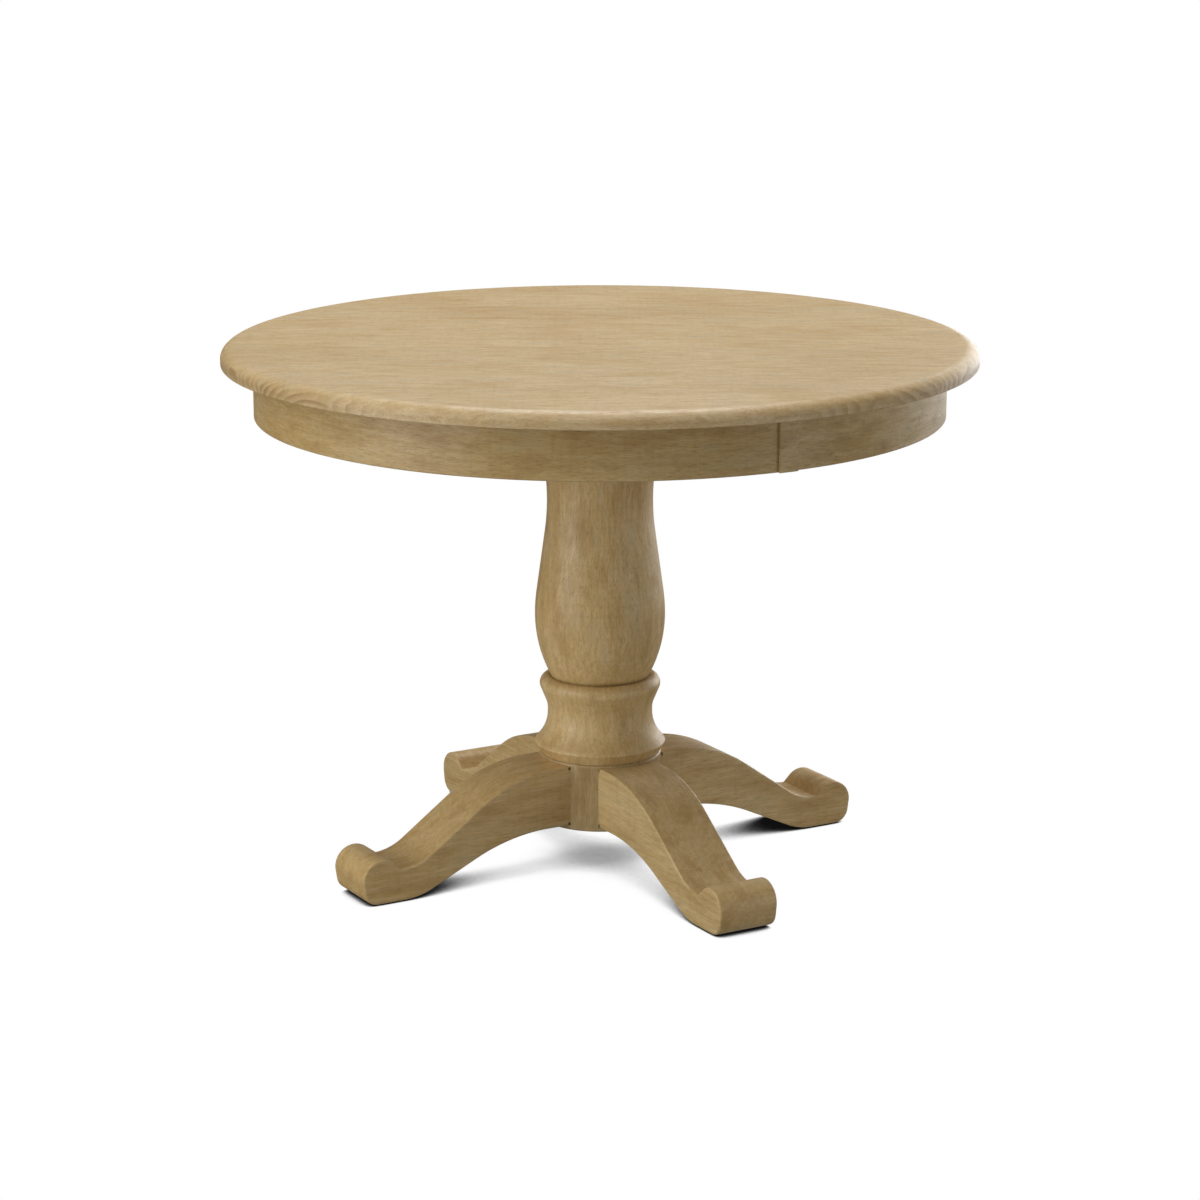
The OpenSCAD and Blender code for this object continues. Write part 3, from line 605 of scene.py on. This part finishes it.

# each leg's colour is scaled by its own tone, which is painted light: the legs are made paler by
# different amounts to stand in for the light each gets, most of all the right leg, whose scroll
# lies in the tabletop's shadow
low, high = box_mm("leg_right")
outline = leg_outline(HUB_R, low[2], high[2], high[0])
for name, degrees, seed, tone in (
    ("leg_right", 0, 0.2, 1.22), ("leg_rear", 90, 1.4, 1.06),
    ("leg_left", 180, 2.6, 1.09), ("leg_front", 270, 3.3, 1.05),
):
    turn = math.radians(degrees)
    made = leg(name + "_beam", name, turn, outline, high[1] - low[1], HUB_R)
    # tint carries the leg's painted light
    paint(made, wood("wood_" + name, (0, 0, -turn), seed=seed, board=0.2, short=1.6,
                     rings=0.07, end_rings=0.15, tint=(tone, tone, tone)))

RAW = wood("wood_inner", seed=5.1, board=0.07, raw=True, shine=0.6)
ZINC = metal("zinc_plating", (0.60, 0.61, 0.62, 1), (0.38, 0.37, 0.35, 1), 0.3)
BRASS = metal("brass", (0.72, 0.54, 0.26, 1), (0.45, 0.32, 0.15, 1), 0.28)
NYLON = moulded("nylon", srgb(44, 41, 38), srgb(88, 84, 78))


def inner_look(name):
    """The material of a CAD node that no piece above stands for."""
    if name.startswith("glide_") and not name.endswith("nails"):
        return NYLON
    if name == "rail_inserts":
        return BRASS
    if name.endswith("dowels") or "block_" in name and "screws" not in name:
        return RAW
    if name.startswith("rail_") and "screws" not in name or name == "mounting_plate":
        return RAW
    return ZINC


# the other CAD nodes keep their own shape, and the wooden ones get eased edges
for name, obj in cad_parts.items():
    if obj.hide_render:
        continue
    look = inner_look(name)
    paint(obj, look)
    weld = obj.modifiers.new("weld", "WELD")
    weld.merge_threshold = 0.00001
    if look == RAW:
        clean = obj.modifiers.new("clean", "DECIMATE")
        clean.decimate_type, clean.angle_limit = "DISSOLVE", math.radians(1)
        ease = obj.modifiers.new("ease", "BEVEL")
        ease.width, ease.segments, ease.limit_method = 0.0012, 3, "ANGLE"
        ease.angle_limit = math.radians(40)

# ------------------------------------------------------------ studio

# The camera stands 30 degrees to the left of the table's front, looking slightly down
VIEW, TILT = math.radians(30), math.radians(13.897)
CAMERA_AWAY, CAMERA_HEIGHT, SENSOR_MM, LENS_MM = 4.9597, 1.6115, 36, 106.76
AHEAD = Vector((math.sin(VIEW), math.cos(VIEW), 0))
ASIDE = Vector((math.cos(VIEW), -math.sin(VIEW), 0))

camera = bpy.data.objects.new("camera", bpy.data.cameras.new("camera"))
bpy.context.scene.collection.objects.link(camera)
camera.location = -CAMERA_AWAY * AHEAD + Vector((0, 0, CAMERA_HEIGHT))
camera.rotation_euler = (math.radians(90) - TILT, 0, -VIEW)
camera.data.sensor_width, camera.data.lens = SENSOR_MM, LENS_MM
bpy.context.scene.camera = camera
bpy.context.scene.view_settings.view_transform = "Standard"


def softbox(name, turn, rise, power):
    """A square area light aimed at the table's middle, turn degrees round to the right of the
    camera's side and rise degrees up."""
    size, away, middle = 1.8, 3.6, Vector((0, 0, 0.5))
    turn, rise = math.radians(turn), math.radians(rise)
    level = math.sin(turn) * ASIDE - math.cos(turn) * AHEAD
    toward = math.cos(rise) * level + Vector((0, 0, math.sin(rise)))
    data = bpy.data.lights.new(name, "AREA")
    data.shape, data.size, data.energy = "SQUARE", size, power
    lamp = bpy.data.objects.new(name, data)
    bpy.context.scene.collection.objects.link(lamp)
    lamp.location = middle + away * toward
    lamp.rotation_euler = (-toward).to_track_quat("-Z", "Y").to_euler()


softbox("overhead_back", 180, 62, 76)
softbox("overhead_front", 0, 62, 34)
softbox("key_low", -60, 3, 46)
softbox("key_high", -60, 35, 29)
softbox("fill_right", 60, 3, 17)
softbox("rim_right", 120, 3, 16)
softbox("rim_back_right", 148, 8, 44)
softbox("bounce", 0, -35, 10)

world = bpy.data.worlds.new("studio")
bpy.context.scene.world = world
world.use_nodes = True
sky = world.node_tree.nodes["Background"]
sky.inputs["Color"].default_value = (1, 1, 1, 1)
sky.inputs["Strength"].default_value = 0.15


def scenery(name, mesh):
    """Part of the studio that only the camera sees, with a material and its graph and output."""
    obj = bpy.data.objects.new(name, mesh)
    bpy.context.scene.collection.objects.link(obj)
    obj.visible_diffuse = obj.visible_glossy = False
    obj.visible_transmission = obj.visible_shadow = False
    material, g, shader = new_material(name + "_white")
    g.tree.nodes.remove(shader)
    paint(obj, material)
    return g, g.tree.nodes["Material Output"].inputs["Surface"]


# a glowing white floor with painted shadow, darkened by ambient occlusion where the table closes it
# in, and clear from below
FLOOR_R, BACKDROP_R, STEPS = 40, 45, 96
mesh = bpy.data.meshes.new("floor")
turns = np.linspace(0, 2 * math.pi, STEPS, endpoint=False)
rim = [(FLOOR_R * math.cos(a), FLOOR_R * math.sin(a), 0) for a in turns]
mesh.from_pydata(rim, [], [range(STEPS)])
g, surface = scenery("floor", mesh)
painted_shadow_ao = g.node("ShaderNodeAmbientOcclusion", {"Distance": 0.13}, samples=16).outputs["AO"]
# painted shadow: the floor's glow fades where ambient occlusion is strong
strength = g.remap(painted_shadow_ao, 0.2, 0.52, 0.005, 1.0, smooth=True)
glow = g.node("ShaderNodeEmission", {"Strength": strength})
below = g.node("ShaderNodeNewGeometry").outputs["Backfacing"]
clear = g.node("ShaderNodeBsdfTransparent")
sides = g.node("ShaderNodeMixShader", {0: below, 1: glow.outputs[0], 2: clear.outputs[0]})
g.tree.links.new(sides.outputs[0], surface)

# a white shell all round, so that every view has a pale backdrop
bm = bmesh.new()
bmesh.ops.create_icosphere(bm, subdivisions=4, radius=BACKDROP_R)
mesh = bpy.data.meshes.new("backdrop")
bm.to_mesh(mesh)
bm.free()
g, surface = scenery("backdrop", mesh)
glow = g.node("ShaderNodeEmission", {"Color": (1, 1, 1, 1), "Strength": 1.0})
g.tree.links.new(glow.outputs[0], surface)
